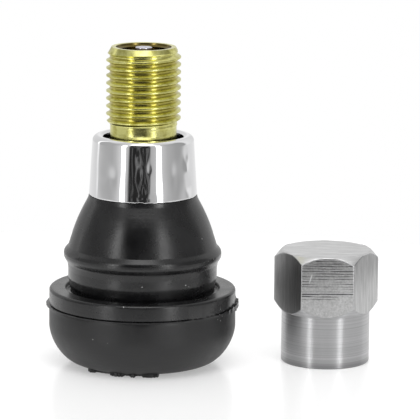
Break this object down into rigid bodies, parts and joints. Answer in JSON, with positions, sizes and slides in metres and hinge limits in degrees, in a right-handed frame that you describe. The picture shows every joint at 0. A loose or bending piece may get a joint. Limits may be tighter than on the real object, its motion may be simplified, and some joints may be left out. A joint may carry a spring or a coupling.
{
  "type": "tyre valve",
  "caption": "Snap-in rubber tyre valve with a chromed sleeve, a threaded brass stem and a screw-in core, beside its hexagonal metal cap.",
  "frame": {"origin": "centre of the wheel rim's hole, on the flange's flat seat", "axes": "+Z along the valve's axis towards the mouth, +X towards the cap that stands beside the valve, -Y towards the camera"},
  "size_m": [0.0348, 0.0199, 0.0334],
  "materials": {
    "stem_brass": "turned bright brass with a cut thread",
    "moulded_rubber": "moulded satin black rubber",
    "sleeve_chrome": "bright chrome plating on drawn brass",
    "core_brass": "turned brass",
    "barrel_nickel": "nickel-plated brass",
    "gasket_plastic": "smooth sealing plastic",
    "pin_steel": "plated steel",
    "spring_steel": "drawn spring wire",
    "seal_rubber": "plain black rubber",
    "cap_nickel": "nickel-plated, with milling and turning marks"
  },
  "bodies": {
    "valve": {"stem": "stem_brass", "rubber_body": "moulded_rubber", "sleeve": "sleeve_chrome", "cap": "cap_nickel", "cap_gasket": "seal_rubber"},
    "core": {"core_barrel": "barrel_nickel", "barrel_gasket": "gasket_plastic", "core_spring": "spring_steel"},
    "swivel_head": {"core_head": "core_brass"},
    "plunger": {"core_pin": "pin_steel", "plunger_cup": "core_brass", "plunger_gasket": "seal_rubber"}
  },
  "joints": [
    {"name": "core_lift", "type": "slide", "parent": "valve", "child": "core", "axis": [0, 0, 1], "range_m": [0, 0.00458]},
    {"name": "core_unscrew", "type": "hinge", "parent": "core", "child": "swivel_head", "pos_m": [0, 0, 0.0253], "axis": [0, 0, 1], "range_deg": [0, 2340]},
    {"name": "pin_press", "type": "slide", "parent": "core", "child": "plunger", "axis": [0, 0, -1], "range_m": [0, 0.0016], "stiffness_N_per_m": 1200, "deforming": ["core_spring"]}
  ],
  "couplings": [
    {"joint": "core_unscrew", "follows": "core_lift", "rad_per_m": 8912.3}
  ]
}
